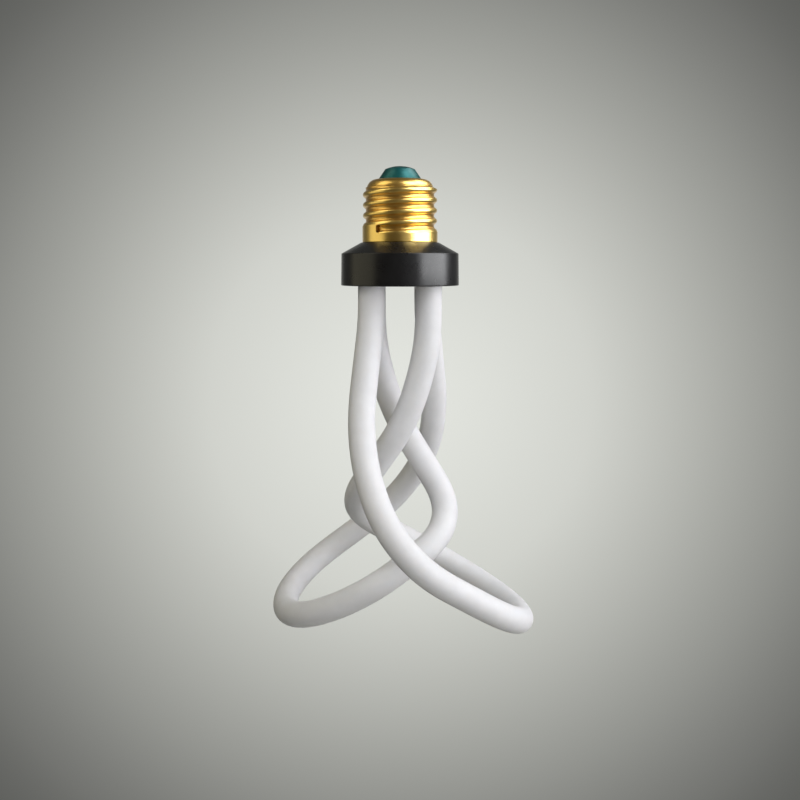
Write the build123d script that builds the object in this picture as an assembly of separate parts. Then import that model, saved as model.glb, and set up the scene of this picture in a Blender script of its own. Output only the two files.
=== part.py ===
"""Designer LED bulb: brass screw cap, moulded collar and two interlaced opal tubes.

Millimetres. +Z is up, with the cap at the top, as the bulb hangs. The origin is on the axis, on the
collar's top face, where the cap ends. The viewer looks along +Y, with +X to the right.
"""
import math
import os

from build123d import *

# Screw cap: a thin brass shell with a rolled round thread above a plain skirt
THREAD_D = 26.4
THREAD_DEPTH = 1.08
THREAD_PITCH = 3.629
CREST_LAND = 0.3
GROOVE_END_ANGLE = -125.0
SKIRT_D = 26.8
SKIRT_H = 2.5
SKIRT_EASE = 0.35
SHELL_H = 22.1
SHELL_WALL = 0.5
SHOULDER_STEP = 0.27
SHOULDER_FILLET = 3.5
THREAD_RUNOUT = 0.9
RUNOUT_LAP = 0.8

# Blind notch, punched where the groove ends on the skirt
NOTCH_W = 2.0
NOTCH_H = 2.7
NOTCH_ROUND = 0.7
NOTCH_DEPTH = 0.25

# Glass insulator: a cone with a shallow dome
CONE_BASE_D = 15.4
CONE_TOP_D = 10.5
CONE_H = 3.55
DOME_H = 1.1
GLASS_CLEAR = 0.05

# Centre contact, let in flush with the dome
CONTACT_D = 4.8
CONTACT_DEPTH = 2.0
CONTACT_CLEAR = 0.05

# Collar: a drafted drum with a wide chamfer, and a neck that fills the cap
COLLAR_D = 42.3
COLLAR_SHOULDER_D = 41.9
COLLAR_TOP_D = 27.8
COLLAR_H = 15.2
CHAMFER_H = 3.9
NECK_CLEAR = 0.1
NECK_TOP_CLEAR = 0.125

# Tubes: one bend of round tube, used twice, half a turn apart
TUBE_D = 9.4
SOCKET_X = 10.0
SOCKET_Y = 10.0
SOCKET_DEPTH = 8.0
SOCKET_CLEAR = 0.1
HALF_TURN = 180.0
ARC_SHARE = 0.49

# Corners of the tube's route: out to the right, away from the viewer, down from the collar
WAIST = (-15.0, -23.5, 56.0)
FRONT_BOW = (-1.0, -47.0, 88.0)
TIP_FRONT = (45.0, -29.5, 118.5)
TIP_BACK = (42.5, 13.0, 121.5)
REAR_BOW = (12.0, 29.0, 106.5)
BULGE_LOW = (-15.0, 15.0, 88.5)
BULGE_HIGH = (-17.5, 3.5, 78.5)
CROSSING = (3.0, -10.0, 47.0)
LEAVE_DROP = 12.0
RETURN_DROP = 21.0

# Derived sizes
crest_r = THREAD_D / 2
root_r = crest_r - THREAD_DEPTH
skirt_r = SKIRT_D / 2
wave_r = (THREAD_PITCH**2 / 4 + THREAD_DEPTH**2) / (4 * THREAD_DEPTH)
groove_half = (THREAD_PITCH - CREST_LAND) / 2
groove_end_z = SKIRT_H + 1.1 * SKIRT_EASE + groove_half
bore_r = root_r - SHELL_WALL
shoulder_r = root_r - SHOULDER_STEP
flat_r = shoulder_r - SHOULDER_FILLET
shoulder_z = SHELL_H - SHOULDER_FILLET
runout_z = shoulder_z + RUNOUT_LAP
runout_r = flat_r + math.sqrt(SHOULDER_FILLET**2 - RUNOUT_LAP**2)
land_top_z = runout_z - THREAD_RUNOUT
ceiling_z = SHELL_H - SHELL_WALL
neck_top_z = shoulder_z - SHOULDER_STEP - NECK_TOP_CLEAR
hole_r = CONE_BASE_D / 2 + GLASS_CLEAR
cone_top_z = SHELL_H + CONE_H
dome_top_z = cone_top_z + DOME_H
underside_z = -COLLAR_H
arc_45 = math.sqrt(0.5)


def turned(profile):
    """Revolve a closed profile, drawn in radius and height, about the bulb's axis."""
    return revolve(Plane.XZ * profile, axis=Axis.Z)


def shell_blank():
    """The cap before threading: skirt and thread land at full size, round shoulder, open bore."""
    inner_fillet = SHOULDER_FILLET - SHELL_WALL
    half_way = (math.asin(RUNOUT_LAP / SHOULDER_FILLET) + math.pi / 2) / 2
    arc_mid = Vector(flat_r, shoulder_z) + Vector(math.cos(half_way), math.sin(half_way)) * SHOULDER_FILLET
    outline = [
        Line((bore_r, 0), (skirt_r, 0)),
        Line((skirt_r, 0), (skirt_r, SKIRT_H)),
        Line((skirt_r, SKIRT_H), (crest_r, SKIRT_H + SKIRT_EASE)),
        Line((crest_r, SKIRT_H + SKIRT_EASE), (crest_r, land_top_z)),
        Line((crest_r, land_top_z), (runout_r, runout_z)),
        ThreePointArc((runout_r, runout_z), arc_mid, (flat_r, SHELL_H)),
        Line((flat_r, SHELL_H), (hole_r, SHELL_H)),
        Line((hole_r, SHELL_H), (hole_r, ceiling_z)),
        Line((hole_r, ceiling_z), (flat_r, ceiling_z)),
        ThreePointArc(
            (flat_r, ceiling_z),
            (flat_r + inner_fillet * arc_45, shoulder_z + inner_fillet * arc_45),
            (bore_r - SHOULDER_STEP, shoulder_z),
        ),
        Line((bore_r - SHOULDER_STEP, shoulder_z), (bore_r, shoulder_z - SHOULDER_STEP)),
        Line((bore_r, shoulder_z - SHOULDER_STEP), (bore_r, 0)),
    ]
    return turned(make_face(outline))


def groove_section():
    """Section of the groove: a root arc between two crest arcs of the same radius, tangent half-way."""
    lift = wave_r - math.sqrt(wave_r**2 - (CREST_LAND / 2) ** 2)
    root_y = wave_r
    crest_y = THREAD_DEPTH + lift - wave_r
    flank = (THREAD_PITCH / 4, (root_y + crest_y) / 2)
    crest_angle = math.asin(CREST_LAND / 2 / wave_r)
    flank_angle = math.acos((flank[1] - crest_y) / wave_r)
    mid_angle = (crest_angle + flank_angle) / 2
    crest_mid = (THREAD_PITCH / 2 - wave_r * math.sin(mid_angle), crest_y + wave_r * math.cos(mid_angle))
    above = 2 * THREAD_DEPTH
    outline = [
        ThreePointArc((-flank[0], flank[1]), (0, 0), flank),
        ThreePointArc(flank, crest_mid, (groove_half, THREAD_DEPTH)),
        Line((groove_half, THREAD_DEPTH), (groove_half, above)),
        Line((groove_half, above), (-groove_half, above)),
        Line((-groove_half, above), (-groove_half, THREAD_DEPTH)),
        ThreePointArc((-groove_half, THREAD_DEPTH), (-crest_mid[0], crest_mid[1]), (-flank[0], flank[1])),
    ]
    return make_face(outline)


def thread_groove():
    """The rolled groove, along the thread's helix from its end on the skirt up past the shoulder."""
    helix_h = shoulder_z + groove_half + THREAD_PITCH / 4 - groove_end_z
    helix = Helix(pitch=THREAD_PITCH, height=helix_h, radius=root_r)
    outward = Plane(origin=helix @ 0, x_dir=(0, 0, 1), z_dir=(0, 1, 0))
    groove = sweep(outward * groove_section(), path=helix, is_frenet=True)
    return Pos(0, 0, groove_end_z) * Rot(0, 0, GROOVE_END_ANGLE) * groove


def notch():
    """Round-cornered blind pocket at the lower end of the groove."""
    floor = Plane(origin=(root_r - NOTCH_DEPTH, 0, groove_end_z), x_dir=(0, 1, 0), z_dir=(1, 0, 0))
    outline = floor * RectangleRounded(NOTCH_W, NOTCH_H, NOTCH_ROUND)
    return Rot(0, 0, GROOVE_END_ANGLE) * extrude(outline, 2 * THREAD_DEPTH + NOTCH_DEPTH)


def glass_body():
    """Insulator with no hole: plug below the shell's top, cone and dome above it."""
    base_r = CONE_BASE_D / 2
    top_r = CONE_TOP_D / 2
    plug_r = flat_r - GLASS_CLEAR
    dome_r = (top_r**2 + DOME_H**2) / (2 * DOME_H)
    half_way = math.asin(top_r / dome_r) / 2
    outline = [
        Line((0, neck_top_z), (plug_r, neck_top_z)),
        Line((plug_r, neck_top_z), (plug_r, ceiling_z)),
        Line((plug_r, ceiling_z), (base_r, ceiling_z)),
        Line((base_r, ceiling_z), (base_r, SHELL_H)),
        Line((base_r, SHELL_H), (top_r, cone_top_z)),
        ThreePointArc(
            (top_r, cone_top_z),
            (dome_r * math.sin(half_way), dome_top_z - dome_r * (1 - math.cos(half_way))),
            (0, dome_top_z),
        ),
        Line((0, dome_top_z), (0, neck_top_z)),
    ]
    return turned(make_face(outline))


def contact_bore(clearance):
    """Room for the contact, from its foot to above the dome."""
    foot_z = dome_top_z - CONTACT_DEPTH
    return Pos(0, 0, foot_z) * Cylinder(
        CONTACT_D / 2 + clearance, CONTACT_DEPTH + DOME_H, align=(Align.CENTER, Align.CENTER, Align.MIN)
    )


def collar_body():
    """Drafted drum with a wide chamfer, and the neck that fills the cap."""
    neck_r = bore_r - NECK_CLEAR
    outline = Polyline(
        (0, underside_z),
        (COLLAR_D / 2, underside_z),
        (COLLAR_SHOULDER_D / 2, -CHAMFER_H),
        (COLLAR_TOP_D / 2, 0),
        (neck_r, 0),
        (neck_r, neck_top_z),
        (0, neck_top_z),
        close=True,
    )
    return turned(make_face(outline))


def sockets():
    """Four blind holes in the collar's underside for the tube ends."""
    hole = Cylinder(TUBE_D / 2 + SOCKET_CLEAR, SOCKET_DEPTH, align=(Align.CENTER, Align.CENTER, Align.MIN))
    return [
        Pos(side_x * SOCKET_X, side_y * SOCKET_Y, underside_z) * hole
        for side_x in (-1, 1)
        for side_y in (-1, 1)
    ]


def tube_route():
    """Straight ends in the sockets, and a route by corners with arcs as large as its runs allow."""
    leave = Vector(-SOCKET_X, -SOCKET_Y, 0)
    come_back = Vector(SOCKET_X, -SOCKET_Y, 0)
    corners = [leave, leave - Vector(0, 0, LEAVE_DROP)]
    going = (WAIST, FRONT_BOW, TIP_FRONT, TIP_BACK)
    coming = (REAR_BOW, BULGE_LOW, BULGE_HIGH, CROSSING)
    for out, away, drop in going + coming:
        corners.append(Vector(out, away, -drop))
    corners += [come_back - Vector(0, 0, RETURN_DROP), come_back]
    radii = []
    for before, corner, after in zip(corners, corners[1:], corners[2:]):
        run_in = corner - before
        run_out = after - corner
        turn = math.radians(run_in.get_angle(run_out))
        radii.append(ARC_SHARE * min(run_in.length, run_out.length) / math.tan(turn / 2))
    corners[0] += Vector(0, 0, SOCKET_DEPTH)
    corners[-1] += Vector(0, 0, SOCKET_DEPTH)
    return Pos(0, 0, underside_z) * FilletPolyline(*corners, radius=radii)


def bent_tube():
    """One opal tube, swept along the route."""
    route = tube_route()
    section = Plane(origin=route @ 0, z_dir=route % 0) * Circle(TUBE_D / 2)
    return sweep(section, path=route)


screw_shell = shell_blank() - thread_groove() - notch()
cap_insulator = glass_body() - contact_bore(CONTACT_CLEAR)
centre_contact = glass_body() & contact_bore(0)
collar = collar_body() - sockets()
tube_front = bent_tube()
tube_rear = Rot(0, 0, HALF_TURN) * tube_front

os.makedirs("parts", exist_ok=True)
export_step(screw_shell, "parts/screw_shell.step")
export_step(cap_insulator, "parts/cap_insulator.step")
export_step(centre_contact, "parts/centre_contact.step")
export_step(collar, "parts/collar.step")
export_step(tube_front, "parts/tube_front.step")
export_step(tube_rear, "parts/tube_rear.step")
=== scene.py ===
# %% [markdown]
# A designer LED bulb, dressed for its portrait
#
# The bulb hangs with its cap up. A rolled brass cap sits on a dark moulded collar, and two identical opal
# tubes leave the collar, bend round each other and come back. The solids of the part are loaded first as a
# fixed frame. Every piece below takes the place of one of those solids, in the same spot and at the same
# size, with rounder edges and a real finish. Sizes are written in millimetres and turned into metres by MM.

import math

import bmesh
import bpy
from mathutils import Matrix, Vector


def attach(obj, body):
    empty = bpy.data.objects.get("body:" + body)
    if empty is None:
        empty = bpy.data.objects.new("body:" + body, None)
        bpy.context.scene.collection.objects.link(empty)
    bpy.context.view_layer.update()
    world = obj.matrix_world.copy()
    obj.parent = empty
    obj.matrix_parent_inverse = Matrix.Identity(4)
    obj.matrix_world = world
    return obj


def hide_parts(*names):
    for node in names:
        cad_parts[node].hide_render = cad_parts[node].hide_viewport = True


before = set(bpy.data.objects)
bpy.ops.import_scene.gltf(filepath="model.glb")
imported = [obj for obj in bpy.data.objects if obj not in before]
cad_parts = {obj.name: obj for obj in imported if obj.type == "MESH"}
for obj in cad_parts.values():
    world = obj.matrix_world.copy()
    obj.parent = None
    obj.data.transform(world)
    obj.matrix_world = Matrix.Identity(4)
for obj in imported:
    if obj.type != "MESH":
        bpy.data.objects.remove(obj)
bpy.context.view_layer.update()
MM = 0.001
print("solids:", sorted(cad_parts))

# %% [markdown]
# Helpers for the trees
#
# Geometry Nodes describe a shape by a rule, and a rule needs a lot of small sums. These helpers keep the
# sums readable: one makes a tree with named inputs, one adds a node, and one adds a single step of
# arithmetic. Others take one shape out of another and close a tree with its finish on. The last one turns
# the result of a tree into an ordinary mesh, so that nothing live is left behind.

# %% Helpers that build a tree
def new_tree(name, sizes, counts=()):
    """An empty tree for a modifier, with a geometry input, named sizes and counts, and a finish."""
    tree = bpy.data.node_groups.new(name, "GeometryNodeTree")
    tree.is_modifier = True
    inputs = [("Geometry", "Geometry")]
    inputs += [(label, "Float") for label in sizes]
    inputs += [(label, "Int") for label in counts]
    inputs += [("Finish", "Material")]
    for label, kind in inputs:
        tree.interface.new_socket(label, in_out="INPUT", socket_type="NodeSocket" + kind)
    tree.interface.new_socket("Geometry", in_out="OUTPUT", socket_type="NodeSocketGeometry")
    return tree, tree.nodes.new("NodeGroupInput").outputs, tree.nodes.new("NodeGroupOutput")


def plug(tree, node, socket, value):
    """Wire a socket, or set it to a plain value."""
    if isinstance(value, bpy.types.NodeSocket):
        tree.links.new(value, node.inputs[socket])
    else:
        node.inputs[socket].default_value = value


def add(tree, kind, inputs=None, **settings):
    """One node, with its settings and its inputs."""
    node = tree.nodes.new(kind)
    for key, value in settings.items():
        setattr(node, key, value)
    for socket, value in (inputs or {}).items():
        plug(tree, node, socket, value)
    return node


def sums(tree, operation, *values):
    """One step of arithmetic on fields."""
    return add(tree, "ShaderNodeMath", dict(enumerate(values)), operation=operation).outputs[0]


def eased(tree, value, start, end):
    """0 before start, 1 after end, and a smooth step between them."""
    span = {"Value": value, "From Min": start, "From Max": end}
    return add(tree, "ShaderNodeMapRange", span, interpolation_type="SMOOTHSTEP").outputs[0]


def axis_distance(tree, x, y):
    """Distance from the bulb's upright axis."""
    squares = sums(tree, "ADD", sums(tree, "MULTIPLY", x, x), sums(tree, "MULTIPLY", y, y))
    return sums(tree, "SQRT", squares)


# %% Helpers that cut, close and bake
def take_away(tree, body, cutter):
    """The body with the cutter's shape taken out of it."""
    cut = add(tree, "GeometryNodeMeshBoolean", operation="DIFFERENCE", solver="EXACT")
    tree.links.new(body, cut.inputs[0])
    tree.links.new(cutter, cut.inputs[1])
    return cut.outputs[0]


def close_tree(tree, shape, finish, outlet):
    """End the tree: everything made real, with its finish on."""
    real = add(tree, "GeometryNodeRealizeInstances", {"Geometry": shape})
    coated = add(tree, "GeometryNodeSetMaterial", {"Geometry": real.outputs[0], "Material": finish})
    tree.links.new(coated.outputs[0], outlet.inputs[0])
    print("tree:", tree.name, "with", len(tree.nodes), "nodes")


def bake_tree(piece, tree, values):
    """Run the tree on the piece and keep the result as its plain mesh."""
    modifier = piece.modifiers.new(tree.name, "NODES")
    modifier.node_group = tree
    for item in tree.interface.items_tree:
        if item.in_out == "INPUT" and item.name in values:
            modifier[item.identifier] = values[item.name]
    depsgraph = bpy.context.evaluated_depsgraph_get()
    mesh = bpy.data.meshes.new_from_object(piece.evaluated_get(depsgraph), depsgraph=depsgraph)
    piece.modifiers.clear()
    old = piece.data
    piece.data = mesh
    bpy.data.meshes.remove(old)
    mesh.name = piece.name
    return piece


# %% [markdown]
# Finishes come first
#
# A tree ends by setting the material, so the five finishes are made before the pieces. Each one has a
# colour that varies a little, a roughness that varies with it, and a fine bump. All of them read Object
# coordinates, in metres, so a pattern keeps its real size and stays on the piece from every side.

# %% Helpers for the finishes
def new_finish(name):
    """A material with its shader, and Object coordinates to hang patterns on."""
    material = bpy.data.materials.new(name)
    material.use_nodes = True
    tree = material.node_tree
    shader = tree.nodes["Principled BSDF"]
    place = add(tree, "ShaderNodeTexCoord").outputs["Object"]
    return material, tree, shader, place


def set_all_over(shader, values):
    """Set the shader's sockets that are the same all over the surface."""
    for socket, value in values.items():
        shader.inputs[socket].default_value = value


def noise(tree, place, scale, detail=3.0, stretch=(1, 1, 1)):
    """Soft random grey, stretched along an axis where the finish has a direction."""
    stretched = add(tree, "ShaderNodeMapping", {"Vector": place, "Scale": stretch}).outputs[0]
    inputs = {"Vector": stretched, "Scale": scale, "Detail": detail, "Roughness": 0.6}
    return add(tree, "ShaderNodeTexNoise", inputs).outputs["Fac"]


def between(tree, value, low, high, from_low=0.3, from_high=0.7):
    """Turn a grey into a number between low and high."""
    span = {"Value": value, "From Min": from_low, "From Max": from_high, "To Min": low, "To Max": high}
    return add(tree, "ShaderNodeMapRange", span).outputs[0]


def tints(tree, value, first, second):
    """Mix two colours by a grey. A Mix node keeps its colours in sockets 6 and 7, and gives them in 2."""
    colours = {0: value, 6: (*first, 1), 7: (*second, 1)}
    return add(tree, "ShaderNodeMix", colours, data_type="RGBA").outputs[2]


def bump(tree, height, distance, strength):
    """A bump of that height in metres."""
    inputs = {"Height": height, "Distance": distance, "Strength": strength}
    return add(tree, "ShaderNodeBump", inputs).outputs[0]


# %% [markdown]
# Opal white for the tubes
#
# The tubes are matte and faintly see-through at the skin, like milk glass. Light sinks in a little before
# it comes back, which softens the edge of the shade, so the shader has some subsurface. The white stays
# well below full, so that the lit side keeps its shape. The mottle is so faint that it only keeps the tube
# from looking like paper.

# %% Opal tube finish
OPAL_LOW = (0.735, 0.735, 0.735)
OPAL_HIGH = (0.785, 0.785, 0.785)

opal, tree, shader, place = new_finish("opal_skin")
mottle = between(tree, noise(tree, place, 160, 4), 0, 1)
plug(tree, shader, "Base Color", tints(tree, mottle, OPAL_LOW, OPAL_HIGH))
plug(tree, shader, "Roughness", between(tree, noise(tree, place, 420), 0.50, 0.62))
plug(tree, shader, "Normal", bump(tree, noise(tree, place, 2600, 2), 0.02 * MM, 0.12))
set_all_over(
    shader,
    {
        "Subsurface Weight": 0.3,
        "Subsurface Radius": (1.0, 0.9, 0.8),
        "Subsurface Scale": 2.0 * MM,
        "Specular IOR Level": 0.12,
    },
)
print("finish:", opal.name)

# %% [markdown]
# Brass for the cap
#
# Rolled brass is bright on the crests, where the lampholder rubs it, and browner in the grooves. That brown
# is partly the oil and tarnish that stay there and partly painted shade. The shoulder gets a paler tint,
# which is a painted highlight. The distance from the axis tells crest from groove, and the height tells
# where the shoulder starts, so both drive the tint. Drawing the cup leaves fine rings round it: noise
# squeezed along the axis gives those. A coat of clear lacquer on top gives the brightest spots their white.

# %% Brass finish
# The groove colour is partly tarnish and partly painted shade, darker where the grooves lie in shade.
GROOVE_TARNISH_AND_SHADE = (0.76, 0.44, 0.09)
CREST_GOLD = (0.92, 0.64, 0.175)
GROOVE_FLOOR_R = 12.1
CREST_TOP_R = 13.1
SHOULDER_START_Z = 18.6
SHOULDER_FULL_Z = 19.6
SHOULDER_SHEEN = 0.45
POLISH = -0.03

brass, tree, shader, place = new_finish("rolled_brass")
x, y, z = add(tree, "ShaderNodeSeparateXYZ", {"Vector": place}).outputs
on_crest = between(tree, axis_distance(tree, x, y), 0, 1, GROOVE_FLOOR_R * MM, CREST_TOP_R * MM)
# Painted highlight: the shoulder is tinted paler, as if it caught the light.
shoulder_sheen = between(tree, z, 0, SHOULDER_SHEEN, SHOULDER_START_Z * MM, SHOULDER_FULL_Z * MM)
crest_wear_and_shoulder_sheen = sums(tree, "MAXIMUM", on_crest, shoulder_sheen)
clouds = between(tree, noise(tree, place, 230, 4), -0.2, 0.2)
rings = noise(tree, place, 60, 3, (1, 1, 40))
tarnish_shade_and_sheen = add(tree, "ShaderNodeClamp", {"Value": sums(tree, "ADD", crest_wear_and_shoulder_sheen, clouds)}).outputs[0]
polished = sums(tree, "MULTIPLY", tarnish_shade_and_sheen, POLISH)
plug(tree, shader, "Base Color", tints(tree, tarnish_shade_and_sheen, GROOVE_TARNISH_AND_SHADE, CREST_GOLD))
plug(tree, shader, "Roughness", sums(tree, "ADD", between(tree, rings, 0.31, 0.35), polished))
plug(tree, shader, "Normal", bump(tree, rings, 0.01 * MM, 0.08))
set_all_over(shader, {"Metallic": 1.0, "Coat Weight": 0.5, "Coat Roughness": 0.27, "Coat IOR": 1.6})
print("finish:", brass.name)

# %% [markdown]
# Glass, contact and collar
#
# The insulator is a blob of dark teal glass, pressed hot, so it is smooth with a slow swirl in its colour.
# The contact is a tinned button, dull and slightly scratched. The collar is a dark moulding with a satin
# skin: the fine spark-eroded grain of the mould shows only where a light glances off it.

# %% Glass finish
GLASS_DEEP = (0.0022, 0.045, 0.044)
GLASS_PALE = (0.0036, 0.064, 0.062)

glass, tree, shader, place = new_finish("pressed_glass")
swirl = between(tree, noise(tree, place, 190, 3, (1, 1, 2.2)), 0, 1)
plug(tree, shader, "Base Color", tints(tree, swirl, GLASS_DEEP, GLASS_PALE))
plug(tree, shader, "Roughness", between(tree, noise(tree, place, 900), 0.34, 0.42))
plug(tree, shader, "Normal", bump(tree, noise(tree, place, 500, 2), 0.03 * MM, 0.2))
set_all_over(shader, {"Specular IOR Level": 0.6, "Specular Tint": (0.3, 1.0, 1.0, 1.0)})
print("finish:", glass.name)

# %% Contact finish
TIN_DULL = (0.36, 0.35, 0.32)
TIN_BRIGHT = (0.62, 0.60, 0.55)

tinned, tree, shader, place = new_finish("tinned_metal")
scuffs = noise(tree, place, 700, 5, (1, 4, 1))
plug(tree, shader, "Base Color", tints(tree, between(tree, scuffs, 0, 1), TIN_DULL, TIN_BRIGHT))
plug(tree, shader, "Roughness", between(tree, scuffs, 0.32, 0.5))
plug(tree, shader, "Normal", bump(tree, scuffs, 0.04 * MM, 0.4))
set_all_over(shader, {"Metallic": 1.0})
print("finish:", tinned.name)

# %% Collar finish
MOULDING_DARK = (0.0065, 0.0065, 0.0068)
MOULDING_PALE = (0.0095, 0.0095, 0.0098)

moulding, tree, shader, place = new_finish("satin_moulding")
grain = noise(tree, place, 3200, 2)
cloud = noise(tree, place, 140, 4)
plug(tree, shader, "Base Color", tints(tree, between(tree, cloud, 0, 1), MOULDING_DARK, MOULDING_PALE))
plug(tree, shader, "Roughness", between(tree, cloud, 0.25, 0.32))
plug(tree, shader, "Normal", bump(tree, grain, 0.012 * MM, 0.2))
set_all_over(shader, {"Specular IOR Level": 0.42})
print("finish:", moulding.name)

# %% [markdown]
# Two bent tubes
#
# On the real bulb one tube is bent on a jig, and the second is the same bend turned half round. A bend like
# that is a route of straight runs with an arc at each corner. Blender can fillet a line of corners by
# itself, so the tree takes the corners, rounds each by its own radius, evens out the points, smooths the
# change from arc to arc as a soft tube does, and sweeps a circle along the result. Only the corners are
# written here.

# %% Corners of the tube's route
TUBE_D = 9.4
SOCKET = 10.0
SOCKET_DEPTH = 8.0
COLLAR_H = 15.2
ARC_SHARE = 0.49
CORNERS = [
    (-SOCKET, -SOCKET, 0.0),
    (-SOCKET, -SOCKET, -12.0),
    (-15.0, -23.5, -56.0),
    (-1.0, -47.0, -88.0),
    (45.0, -29.5, -118.5),
    (42.5, 13.0, -121.5),
    (12.0, 29.0, -106.5),
    (-15.0, 15.0, -88.5),
    (-17.5, 3.5, -78.5),
    (3.0, -10.0, -47.0),
    (SOCKET, -SOCKET, -21.0),
    (SOCKET, -SOCKET, 0.0),
]


def route_line(name, half_turn):
    """The corners as a line of edges, with the bend radius of each corner."""
    side = -1.0 if half_turn else 1.0
    corners = [Vector((x * side, y * side, z - COLLAR_H)) * MM for x, y, z in CORNERS]
    bends = [0.0] * len(corners)
    for i in range(1, len(corners) - 1):
        run_in = corners[i] - corners[i - 1]
        run_out = corners[i + 1] - corners[i]
        shorter = min(run_in.length, run_out.length)
        bends[i] = ARC_SHARE * shorter / math.tan(run_in.angle(run_out) / 2)
    for end in (0, -1):
        corners[end].z += SOCKET_DEPTH * MM
    mesh = bpy.data.meshes.new(name)
    mesh.from_pydata(corners, [(i, i + 1) for i in range(len(corners) - 1)], [])
    mesh.attributes.new("bend", "FLOAT", "POINT").data.foreach_set("value", bends)
    line = bpy.data.objects.new(name, mesh)
    bpy.context.collection.objects.link(line)
    print(name, "corners", len(corners), "largest bend in mm", round(max(bends) / MM, 1))
    return line


# %% The tree that bends and sweeps a tube
ARC_POINTS = 40
RING_POINTS = 44

tube_tree, given, outlet = new_tree("bend a tube", ["Tube radius", "Step"], ["Softness"])
line = add(tube_tree, "GeometryNodeMeshToCurve", {"Mesh": given["Geometry"]})
bend = add(tube_tree, "GeometryNodeInputNamedAttribute", {"Name": "bend"}, data_type="FLOAT")
fillet = add(tube_tree, "GeometryNodeFilletCurve", {"Curve": line.outputs[0]}, mode="POLY")
plug(tube_tree, fillet, "Count", ARC_POINTS)
plug(tube_tree, fillet, "Radius", bend.outputs[0])
even = add(tube_tree, "GeometryNodeResampleCurve", {"Curve": fillet.outputs[0]}, mode="LENGTH")
plug(tube_tree, even, "Length", given["Step"])
spot = add(tube_tree, "GeometryNodeInputPosition")
softened = add(tube_tree, "GeometryNodeBlurAttribute", data_type="FLOAT_VECTOR")
plug(tube_tree, softened, "Value", spot.outputs[0])
plug(tube_tree, softened, "Iterations", given["Softness"])
ends = add(tube_tree, "GeometryNodeCurveEndpointSelection")
middle = add(tube_tree, "FunctionNodeBooleanMath", {0: ends.outputs[0]}, operation="NOT")
route = add(tube_tree, "GeometryNodeSetPosition", {"Geometry": even.outputs[0]})
plug(tube_tree, route, "Selection", middle.outputs[0])
plug(tube_tree, route, "Position", softened.outputs[0])
ring = add(tube_tree, "GeometryNodeCurvePrimitiveCircle", {"Resolution": RING_POINTS})
plug(tube_tree, ring, "Radius", given["Tube radius"])
swept = add(tube_tree, "GeometryNodeCurveToMesh", {"Curve": route.outputs[0], "Fill Caps": True})
plug(tube_tree, swept, "Profile Curve", ring.outputs[0])
close_tree(tube_tree, swept.outputs[0], given["Finish"], outlet)

# %% Finishing a piece
MERGE_GAP = 0.0005


def finish_piece(piece, node, sharp_angle=35):
    """Point the faces outwards, shade them smooth, and let the piece stand for its solid."""
    shape = bmesh.new()
    shape.from_mesh(piece.data)
    bmesh.ops.remove_doubles(shape, verts=shape.verts, dist=MERGE_GAP * MM)
    bmesh.ops.recalc_face_normals(shape, faces=shape.faces)
    loose = sum(1 for edge in shape.edges if len(edge.link_faces) != 2)
    shape.to_mesh(piece.data)
    shape.free()
    piece.data.shade_smooth()
    piece.data.set_sharp_from_angle(angle=math.radians(sharp_angle))
    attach(piece, "root")
    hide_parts(node)
    print(piece.name, "faces", len(piece.data.polygons), "open edges", loose)


# %% Make both tubes
TUBE_VALUES = {"Tube radius": TUBE_D / 2 * MM, "Step": 0.8 * MM, "Softness": 24, "Finish": opal}

for tube_name, solid, half_turn in (("front_tube", "tube_front", False), ("rear_tube", "tube_rear", True)):
    tube = bake_tree(route_line(tube_name, half_turn), tube_tree, TUBE_VALUES)
    finish_piece(tube, solid)

# %% [markdown]
# Turned pieces
#
# The cap, the insulator, the contact and the collar are all round, so each starts as a section drawn in
# radius and height and spun about the axis. Real edges are never razor sharp, and the thin bright line on a
# rounded edge is what makes a piece look solid, so the section's corners get small arcs before it is spun.

# %% Helpers that round a section and spin it
ON_AXIS = 1e-6


def rounded(corners, steps=5):
    """A section's corners, given as radius, height and rounding, with each rounded corner as an arc."""
    points = []
    count = len(corners)
    for i, (r, z, soft) in enumerate(corners):
        here = Vector((r, z))
        if not soft:
            points.append(here)
            continue
        back = Vector(corners[i - 1][:2]) - here
        on = Vector(corners[(i + 1) % count][:2]) - here
        half = back.angle(on) / 2
        reach = soft / math.tan(half)
        centre = here + (back.normalized() + on.normalized()).normalized() * soft / math.sin(half)
        start = here + back.normalized() * reach - centre
        end = here + on.normalized() * reach - centre
        sweep = start.angle_signed(end)
        for step in range(steps + 1):
            angle = -sweep * step / steps
            across = start.x * math.cos(angle) - start.y * math.sin(angle)
            up = start.x * math.sin(angle) + start.y * math.cos(angle)
            points.append(centre + Vector((across, up)))
    return points


def spun(name, points, columns, material):
    """Spin a closed section about the axis. Points on the axis become poles."""
    shape = bmesh.new()
    rows = []
    for r, z in points:
        if r < ON_AXIS:
            rows.append([shape.verts.new((0, 0, z * MM))] * columns)
            continue
        row = []
        for i in range(columns):
            a = 2 * math.pi * i / columns
            row.append(shape.verts.new((r * math.cos(a) * MM, r * math.sin(a) * MM, z * MM)))
        rows.append(row)
    for low, high in zip(rows, rows[1:] + rows[:1]):
        for i in range(columns):
            ring = [low[i], low[(i + 1) % columns], high[(i + 1) % columns], high[i]]
            corners = list(dict.fromkeys(ring))
            if len(corners) > 2:
                shape.faces.new(corners)
    bmesh.ops.recalc_face_normals(shape, faces=shape.faces)
    mesh = bpy.data.meshes.new(name)
    shape.to_mesh(mesh)
    shape.free()
    mesh.materials.append(material)
    piece = bpy.data.objects.new(name, mesh)
    bpy.context.collection.objects.link(piece)
    return piece


# %% [markdown]
# The brass cap
#
# A lamp cap is drawn as a plain cup and its thread is rolled in afterwards. The script does the same: it
# spins a smooth cup with many close rows, and a tree presses the groove into it. The groove is a rule, with
# one full turn for each pitch of height, so the depth at any point follows from its angle and height alone.
# Two equal arcs, tangent half-way, make the wave of a screw cap. Last, a blind pocket is punched where the
# groove ends.

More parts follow.
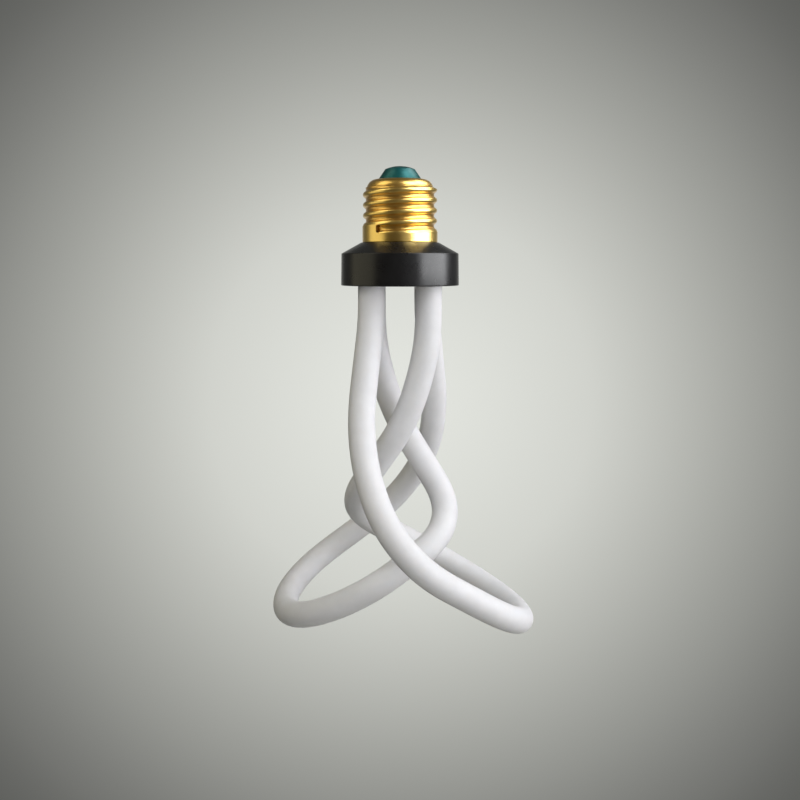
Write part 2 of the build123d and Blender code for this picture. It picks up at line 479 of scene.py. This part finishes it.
# %% Sizes of the cap
CREST_R = 13.2
SKIRT_R = 13.4
DEPTH = 1.08
PITCH = 3.629
WAVE_R = (PITCH**2 / 4 + DEPTH**2) / (4 * DEPTH)
ROOT_R = CREST_R - DEPTH
BORE_R = 11.62
CAP_H = 22.1
SHELL_WALL = 0.5
FILLET = 3.5
FLAT_R = 8.35
LIP_R = 8.0
HOLE_R = 7.75
LAND_TOP_Z = 18.5
RUNOUT_H = 0.9
RUNOUT_Z = LAND_TOP_Z + RUNOUT_H
GROOVE_END_Z = 4.55
GROOVE_END_TURN = -125.0 / 360
print("cap: root radius", round(ROOT_R, 3), "wave radius", round(WAVE_R, 3))

# %% Spin the plain cup
EDGE = 0.25
LIP_ROUND = 0.15
SKIRT_ROWS = 142
RUNOUT_ROWS = 9
RUNOUT_POWER = 1.2
SHOULDER_ROWS = 20
INNER_ROWS = 12
BORE_HEIGHTS = (18.33, 15.0, 12.0, 9.0, 6.0, 3.0, 0.0)

arc_z = CAP_H - FILLET
under_z = CAP_H - SHELL_WALL
inner_fillet = FILLET - SHELL_WALL
lap = math.asin((RUNOUT_Z - arc_z) / FILLET)
runout_r = FLAT_R + FILLET * math.cos(lap)
cup = []
for turn in (0.0, 0.5, 1.0):
    cup.append(Vector((SKIRT_R - EDGE + EDGE * math.sin(turn), EDGE - EDGE * math.cos(turn))))
for i in range(SKIRT_ROWS + 1):
    cup.append(Vector((SKIRT_R, EDGE + (LAND_TOP_Z - EDGE) * i / SKIRT_ROWS)))
for i in range(1, RUNOUT_ROWS):
    r = SKIRT_R + (runout_r - SKIRT_R) * (i / RUNOUT_ROWS) ** RUNOUT_POWER
    cup.append(Vector((r, LAND_TOP_Z + RUNOUT_H * i / RUNOUT_ROWS)))
for i in range(SHOULDER_ROWS + 1):
    turn = lap + (math.pi / 2 - lap) * i / SHOULDER_ROWS
    cup.append(Vector((FLAT_R + FILLET * math.cos(turn), arc_z + FILLET * math.sin(turn))))
cup += rounded([(LIP_R, CAP_H, 0), (HOLE_R, CAP_H, LIP_ROUND), (HOLE_R, under_z, 0), (FLAT_R, under_z, 0)])
for i in range(1, INNER_ROWS + 1):
    turn = math.pi / 2 * (1 - i / INNER_ROWS)
    cup.append(Vector((FLAT_R + inner_fillet * math.cos(turn), arc_z + inner_fillet * math.sin(turn))))
cup += [Vector((BORE_R, height)) for height in BORE_HEIGHTS]
cap = spun("brass_cap", cup, 192, brass)
print("cup: rows", len(cup))

# %% The tree that rolls the thread: where a point lies
thread_tree, given, outlet = new_tree(
    "roll the thread",
    [
        "Pitch",
        "Depth",
        "Wave radius",
        "Crest radius",
        "Skirt radius",
        "Groove end height",
        "Groove end turn",
        "Pocket width",
        "Pocket height",
        "Pocket round",
        "Pocket floor",
    ],
)


def roll(operation, *values):
    """One step of arithmetic in the thread's tree."""
    return sums(thread_tree, operation, *values)


spot = add(thread_tree, "GeometryNodeInputPosition").outputs[0]
x, y, z = add(thread_tree, "ShaderNodeSeparateXYZ", {"Vector": spot}).outputs
radius = axis_distance(thread_tree, x, y)
angle = roll("DIVIDE", roll("ARCTAN2", y, x), 2 * math.pi)
turn = roll("FRACT", roll("SUBTRACT", angle, given["Groove end turn"]))
rise = roll("DIVIDE", roll("SUBTRACT", z, given["Groove end height"]), given["Pitch"])
along = roll("SUBTRACT", rise, turn)
nearest = roll("MAXIMUM", roll("ROUND", along), 0.0)
quarter = roll("DIVIDE", given["Pitch"], 4.0)
half = roll("DIVIDE", given["Pitch"], 2.0)
aside = roll("MULTIPLY", roll("ABSOLUTE", roll("SUBTRACT", along, nearest)), given["Pitch"])
offset = roll("MINIMUM", aside, half)
print("thread: nodes that find the place", len(thread_tree.nodes))

# %% The wave of the thread
wave_squared = roll("MULTIPLY", given["Wave radius"], given["Wave radius"])


def arc_drop(reach):
    """How far an arc of the wave falls away from its top at that reach."""
    inside = roll("MAXIMUM", roll("SUBTRACT", wave_squared, roll("MULTIPLY", reach, reach)), 0.0)
    return roll("SUBTRACT", given["Wave radius"], roll("SQRT", inside))


root_dip = roll("SUBTRACT", given["Depth"], arc_drop(offset))
crest_dip = arc_drop(roll("SUBTRACT", half, offset))
near_root = roll("LESS_THAN", offset, quarter)
arcs = {0: near_root, 2: crest_dip, 3: root_dip}
dip = add(thread_tree, "ShaderNodeMix", arcs, data_type="FLOAT").outputs[0]
print("thread: nodes with the wave", len(thread_tree.nodes))

# %% The plain skirt below the groove, and the pressed wall
SKIRT_DROP = 0.42
SKIRT_EASE = 0.16
FADE_TURN = 0.2

below = roll("SUBTRACT", roll("SUBTRACT", turn, SKIRT_DROP), rise)
skirt = eased(thread_tree, below, 0.0, SKIRT_EASE)
next_turn = eased(thread_tree, roll("ADD", below, 1.0), 0.0, SKIRT_EASE)
fading = roll("SUBTRACT", 1.0, eased(thread_tree, turn, 0.0, FADE_TURN))
plain = roll("MAXIMUM", skirt, roll("MULTIPLY", next_turn, fading))
spread = roll("MULTIPLY", roll("SUBTRACT", given["Skirt radius"], given["Crest radius"]), plain)
wall = roll("SUBTRACT", roll("ADD", given["Crest radius"], spread), dip)
pressed = roll("DIVIDE", roll("MINIMUM", radius, wall), radius)
moved = {0: roll("MULTIPLY", x, pressed), 1: roll("MULTIPLY", y, pressed), 2: z}
rolled = add(thread_tree, "GeometryNodeSetPosition", {"Geometry": given["Geometry"]})
plug(thread_tree, rolled, "Position", add(thread_tree, "ShaderNodeCombineXYZ", moved).outputs[0])
print("thread: nodes with the skirt", len(thread_tree.nodes))

# %% The punched pocket at the end of the groove
PUNCH_STROKE = 3.0
PUNCH_ARC_POINTS = 7
QUARTER_TURN = math.pi / 2

outline = add(thread_tree, "GeometryNodeCurvePrimitiveQuadrilateral", mode="RECTANGLE")
plug(thread_tree, outline, "Width", given["Pocket width"])
plug(thread_tree, outline, "Height", given["Pocket height"])
soft_outline = add(thread_tree, "GeometryNodeFilletCurve", {"Curve": outline.outputs[0]}, mode="POLY")
plug(thread_tree, soft_outline, "Count", PUNCH_ARC_POINTS)
plug(thread_tree, soft_outline, "Radius", given["Pocket round"])
stroke = add(thread_tree, "GeometryNodeCurvePrimitiveLine", {"End": (0, 0, PUNCH_STROKE * MM)})
punch = add(thread_tree, "GeometryNodeCurveToMesh", {"Curve": stroke.outputs[0], "Fill Caps": True})
plug(thread_tree, punch, "Profile Curve", soft_outline.outputs[0])
heading = roll("MULTIPLY", given["Groove end turn"], 2 * math.pi)
where = add(thread_tree, "ShaderNodeCombineXYZ", {2: given["Groove end height"]})
plug(thread_tree, where, 0, roll("MULTIPLY", given["Pocket floor"], roll("COSINE", heading)))
plug(thread_tree, where, 1, roll("MULTIPLY", given["Pocket floor"], roll("SINE", heading)))
facing = add(thread_tree, "ShaderNodeCombineXYZ", {0: QUARTER_TURN, 2: roll("ADD", heading, QUARTER_TURN)})
cutter = add(thread_tree, "GeometryNodeTransform", {"Geometry": punch.outputs[0]})
plug(thread_tree, cutter, "Translation", where.outputs[0])
plug(thread_tree, cutter, "Rotation", facing.outputs[0])
slotted = take_away(thread_tree, rolled.outputs[0], cutter.outputs[0])
close_tree(thread_tree, slotted, given["Finish"], outlet)

# %% Roll the thread
POCKET_SINK = 0.25

bake_tree(
    cap,
    thread_tree,
    {
        "Pitch": PITCH * MM,
        "Depth": DEPTH * MM,
        "Wave radius": WAVE_R * MM,
        "Crest radius": CREST_R * MM,
        "Skirt radius": SKIRT_R * MM,
        "Groove end height": GROOVE_END_Z * MM,
        "Groove end turn": GROOVE_END_TURN,
        "Pocket width": 1.8 * MM,
        "Pocket height": 2.7 * MM,
        "Pocket round": 0.7 * MM,
        "Pocket floor": (ROOT_R - POCKET_SINK) * MM,
        "Finish": brass,
    },
)
finish_piece(cap, "screw_shell", sharp_angle=50)

# %% [markdown]
# Insulator and contact
#
# The glass is pressed into the top of the cap while it is soft, so it fills the mouth: a wide cone with a
# shallow dome. The contact is a small button let into the dome, almost flush. Both are spun sections.

# %% Sizes of the insulator and the contact
GLASS_R = 8.3
MOUTH_R = 7.7
CONE_TOP_R = 5.25
CONE_TOP_Z = CAP_H + 3.55
DOME_H = 1.1
DOME_Z = CONE_TOP_Z + DOME_H
DOME_R = (CONE_TOP_R**2 + DOME_H**2) / (2 * DOME_H)
BUTTON_R = 2.39
BUTTON_HOLE_R = 2.45
BUTTON_DEPTH = 2.0
FOOT_Z = DOME_Z - BUTTON_DEPTH
NECK_TOP_Z = 18.205


def on_dome(r, soft=0):
    """A corner of a section that lies on the dome, at that radius."""
    return (r, DOME_Z - DOME_R + math.sqrt(DOME_R**2 - r**2), soft)


print("top of the dome at", round(DOME_Z, 3))

# %% Spin the insulator and the contact
glass_section = [
    (GLASS_R, NECK_TOP_Z, 0),
    (GLASS_R, under_z, 0),
    (MOUTH_R, under_z, 0),
    (MOUTH_R, CAP_H, 0),
    (CONE_TOP_R, CONE_TOP_Z, 0.15),
    on_dome(4.6),
    on_dome(3.9),
    on_dome(3.2),
    on_dome(BUTTON_HOLE_R, 0.1),
    (BUTTON_HOLE_R, FOOT_Z, 0),
    (0.0, FOOT_Z, 0),
    (0.0, NECK_TOP_Z, 0),
]
insulator = spun("glass_insulator", rounded(glass_section), 96, glass)
finish_piece(insulator, "cap_insulator", sharp_angle=40)

button_section = [(0.0, FOOT_Z, 0), (BUTTON_R, FOOT_Z, 0), on_dome(BUTTON_R, 0.2)]
button_section += [on_dome(r) for r in (1.8, 1.2, 0.6, 0.0)]
button = spun("contact_button", rounded(button_section), 64, tinned)
finish_piece(button, "centre_contact", sharp_angle=40)

# %% [markdown]
# The collar
#
# The collar is one moulding: a drum with a little draft, so that it leaves its mould, a wide chamfer up to
# the cap, and a neck inside the cap. Its four sockets repeat on a square, so a tree drills them: one drill
# is placed on the four points of a grid, and the set is taken away from the spun body.

# %% The tree that drills the sockets
DRILL_SIDES = 64

socket_tree, given, outlet = new_tree(
    "drill the sockets", ["Spacing", "Socket radius", "Socket depth", "Underside"]
)
grid = add(socket_tree, "GeometryNodeMeshGrid", {"Vertices X": 2, "Vertices Y": 2})
plug(socket_tree, grid, "Size X", given["Spacing"])
plug(socket_tree, grid, "Size Y", given["Spacing"])
drill = add(socket_tree, "GeometryNodeMeshCylinder", {"Vertices": DRILL_SIDES})
plug(socket_tree, drill, "Radius", given["Socket radius"])
plug(socket_tree, drill, "Depth", sums(socket_tree, "MULTIPLY", given["Socket depth"], 2.0))
drills = add(socket_tree, "GeometryNodeInstanceOnPoints", {"Points": grid.outputs[0]})
plug(socket_tree, drills, "Instance", drill.outputs[0])
level = add(socket_tree, "ShaderNodeCombineXYZ", {2: given["Underside"]})
lowered = add(socket_tree, "GeometryNodeTransform", {"Geometry": drills.outputs[0]})
plug(socket_tree, lowered, "Translation", level.outputs[0])
solid_drills = add(socket_tree, "GeometryNodeRealizeInstances", {"Geometry": lowered.outputs[0]})
drilled = take_away(socket_tree, given["Geometry"], solid_drills.outputs[0])
close_tree(socket_tree, drilled, given["Finish"], outlet)

# %% Spin the collar and drill it
DRUM_R = 21.15
DRUM_TOP_R = 20.95
CHAMFER_H = 3.9
CHAMFER_TOP_R = 13.9
NECK_R = 11.52
SOCKET_GAP = 0.1

collar_section = [
    (0.0, -COLLAR_H, 0),
    (DRUM_R, -COLLAR_H, 0.35),
    (DRUM_TOP_R, -CHAMFER_H, 0.3),
    (CHAMFER_TOP_R, 0.0, 0.25),
    (NECK_R, 0.0, 0),
    (NECK_R, NECK_TOP_Z, 0),
    (0.0, NECK_TOP_Z, 0),
]
collar = spun("dark_collar", rounded(collar_section), 160, moulding)
bake_tree(
    collar,
    socket_tree,
    {
        "Spacing": 2 * SOCKET * MM,
        "Socket radius": (TUBE_D / 2 + SOCKET_GAP) * MM,
        "Socket depth": SOCKET_DEPTH * MM,
        "Underside": -COLLAR_H * MM,
        "Finish": moulding,
    },
)
finish_piece(collar, "collar", sharp_angle=30)

# %% [markdown]
# The studio
#
# The bulb hangs free, well above a pale floor and in front of a pale wall with a painted pool of light on
# it, which falls off softly towards its edges. The wall leans back a little, square to the camera, so that
# the painted light falls off the same way all round. It glows with that painted light to the camera and in
# reflections, though it is no lamp, and takes plain light otherwise, so the background never needs more
# light than the bulb does. The floor is plain paint, and keeps the bulb's shadow. From here on sizes are in
# metres.

# %% Helpers for the studio
def painted_light_wall(name, stops, reach, centre, bounce):
    """A surface that glows with a painted pool of light, falling off from its centre, to the camera and in
    reflections. Otherwise it gives back only part of the light.
    """
    material, tree, shader, place = new_finish(name)
    tree.nodes.remove(shader)
    away = add(tree, "ShaderNodeVectorMath", {0: place, 1: centre}, operation="DISTANCE").outputs["Value"]
    ramp = add(tree, "ShaderNodeValToRGB", {"Fac": between(tree, away, 0, 1, 0, reach)})
    ramp.color_ramp.interpolation = "B_SPLINE"
    while len(ramp.color_ramp.elements) < len(stops):
        ramp.color_ramp.elements.new(0.5)
    for element, (position, colour) in zip(ramp.color_ramp.elements, stops):
        element.position = position
        element.color = (*colour, 1)
    plain = add(tree, "ShaderNodeBsdfDiffuse", {"Color": (bounce, bounce, bounce, 1)})
    shown = add(tree, "ShaderNodeEmission", {"Color": ramp.outputs[0], "Strength": 1.0})
    path = add(tree, "ShaderNodeLightPath").outputs
    mirrored = sums(tree, "MAXIMUM", path["Is Glossy Ray"], path["Is Transmission Ray"])
    seen = sums(tree, "MAXIMUM", path["Is Camera Ray"], mirrored)
    mixed = add(tree, "ShaderNodeMixShader", {0: seen, 1: plain.outputs[0], 2: shown.outputs[0]})
    tree.links.new(mixed.outputs[0], tree.nodes["Material Output"].inputs["Surface"])
    return material


def sheet_of(name, first_edge, second_edge, half_width, material):
    """A flat sheet for the studio, between two level edges, each given as its depth and height."""
    corners = [(-half_width, *first_edge), (half_width, *first_edge)]
    corners += [(half_width, *second_edge), (-half_width, *second_edge)]
    mesh = bpy.data.meshes.new(name)
    mesh.from_pydata(corners, [], [(0, 1, 2, 3)])
    mesh.materials.append(material)
    sheet = bpy.data.objects.new(name, mesh)
    bpy.context.collection.objects.link(sheet)
    print("studio:", name)


# %% Wall and floor
LOOK_DOWN = 7.71
HALF_WIDTH = 2
FLOOR_FRONT_Y = -2
FLOOR_Z = -0.62
WALL_Y = 0.55
WALL_TOP_Z = 1.4
WALL_CENTRE_Z = -0.131
WALL_REACH = 0.53
WALL_BOUNCE = 0.6
# The stops paint a pool of light on the wall, bright in the middle and falling off towards the edges.
WALL_LIGHT_STOPS = [
    (0.0, (0.800, 0.816, 0.769)),
    (0.33, (0.645, 0.655, 0.614)),
    (0.52, (0.440, 0.446, 0.415)),
    (0.70, (0.283, 0.287, 0.268)),
    (0.87, (0.160, 0.162, 0.152)),
    (1.0, (0.105, 0.107, 0.100)),
]

wall_glow = painted_light_wall("wall_painted_light", WALL_LIGHT_STOPS, WALL_REACH, (0.0, WALL_Y, WALL_CENTRE_Z), WALL_BOUNCE)
floor_finish, _, shader, _ = new_finish("pale_floor")
set_all_over(
    shader,
    {"Base Color": (0.60, 0.605, 0.58, 1.0), "Roughness": 0.9, "Specular IOR Level": 0.1},
)
lean = math.tan(math.radians(LOOK_DOWN))
foot_y = WALL_Y + (FLOOR_Z - WALL_CENTRE_Z) * lean
head_y = WALL_Y + (WALL_TOP_Z - WALL_CENTRE_Z) * lean
sheet_of("wall", (foot_y, FLOOR_Z), (head_y, WALL_TOP_Z), HALF_WIDTH, wall_glow)
sheet_of("floor", (FLOOR_FRONT_Y, FLOOR_Z), (foot_y, FLOOR_Z), HALF_WIDTH, floor_finish)

# %% [markdown]
# Light and camera
#
# Two high soft boxes, a strong one on the right and a weaker warm one on the left, light everything. Brass
# and moulding want bright bands with dark between them, and the white tubes want soft light all over, and
# no single set of lamps gives both. So some lamps are hidden from plain surfaces and only shine in the
# metal, the glass and the moulding. The others, with the broad key on the right, are hidden from
# reflections and only make the tubes read as round. A dim room adds the rest. The camera stands level
# with the collar and looks slightly down.

# %% A soft box
AIM = (0.0, 0.0, -0.06)


def soft_box(name, place, width, height, watts, colour):
    """A rectangular lamp at a place, turned towards the bulb."""
    lamp = bpy.data.lights.new(name, "AREA")
    lamp.shape = "RECTANGLE"
    lamp.size = width
    lamp.size_y = height
    lamp.energy = watts
    lamp.color = colour
    holder = bpy.data.objects.new(name, lamp)
    holder.location = place
    holder.rotation_euler = (Vector(AIM) - Vector(place)).to_track_quat("-Z", "Y").to_euler()
    bpy.context.collection.objects.link(holder)
    print("lamp:", name, watts, "W")
    return holder


# %% Lamps that light everything
soft_box("high_key", (0.36, -0.14, 0.42), 0.46, 0.36, 1.85, (0.93, 0.955, 1.0))
soft_box("high_fill", (-0.37, -0.10, 0.41), 0.34, 0.36, 0.68, (1.0, 0.955, 0.74))

# %% Lamps that only shine in the metal, the glass and the moulding
for lamp in (
    soft_box("key_shine", (0.564, -0.205, 0.06), 0.69, 0.30, 5.0, (0.97, 0.98, 1.0)),
    soft_box("near_shine", (0.20, -0.63, 0.06), 0.26, 0.50, 0.10, (0.97, 0.98, 1.0)),
    soft_box("high_shine", (0.27, -0.27, 0.44), 0.28, 0.30, 1.4, (0.97, 0.99, 1.0)),
    soft_box("fill_shine", (-0.585, -0.135, 0.0), 0.62, 0.46, 0.78, (1.0, 0.94, 0.68)),
    soft_box("rim_shine", (0.38, 0.12, 0.39), 0.30, 0.30, 1.3, (1.0, 1.0, 1.0)),
):
    lamp.visible_diffuse = False

# %% Lamps that reflections don't show
for lamp in (
    soft_box("key_box", (0.594, -0.083, -0.01), 0.54, 0.25, 2.1, (0.965, 0.95, 1.0)),
    soft_box("high_front", (-0.05, -0.40, 0.386), 0.40, 0.40, 1.0, (0.96, 0.96, 1.0)),
    soft_box("low_front", (0.20, -0.45, -0.40), 0.40, 0.40, 0.24, (1.0, 0.98, 0.88)),
    soft_box("level_front", (0.20, -0.56, -0.01), 0.40, 0.40, 0.96, (0.95, 0.955, 1.0)),
):
    lamp.visible_glossy = False

# %% Room light
ROOM_SEEN = (0.44, 0.34, 0.24)
ROOM_LIGHT = (0.66, 0.61, 0.50)
ROOM_STRENGTH = 0.12

world = bpy.data.worlds.new("dim_room")
bpy.context.scene.world = world
world.use_nodes = True
sky = world.node_tree
soft_light = add(sky, "ShaderNodeLightPath").outputs["Is Diffuse Ray"]
room = sky.nodes["Background"]
plug(sky, room, "Color", tints(sky, soft_light, ROOM_SEEN, ROOM_LIGHT))
room.inputs["Strength"].default_value = ROOM_STRENGTH
print("room:", world.name)

# %% Camera
SENSOR = 36.0
FOCAL_PIXELS = 1006
FRAME_PIXELS = 800
CAMERA_PLACE = (0.0, -0.364, -0.0075)

camera = bpy.data.cameras.new("camera")
camera.sensor_width = SENSOR
camera.lens = SENSOR * FOCAL_PIXELS / FRAME_PIXELS
camera.clip_start = 0.01
stand = bpy.data.objects.new("camera", camera)
stand.location = CAMERA_PLACE
stand.rotation_euler = (math.radians(90 - LOOK_DOWN), 0, 0)
bpy.context.collection.objects.link(stand)
bpy.context.scene.camera = stand
bpy.context.scene.view_settings.view_transform = "Standard"
print("camera: lens in mm", round(camera.lens, 2))
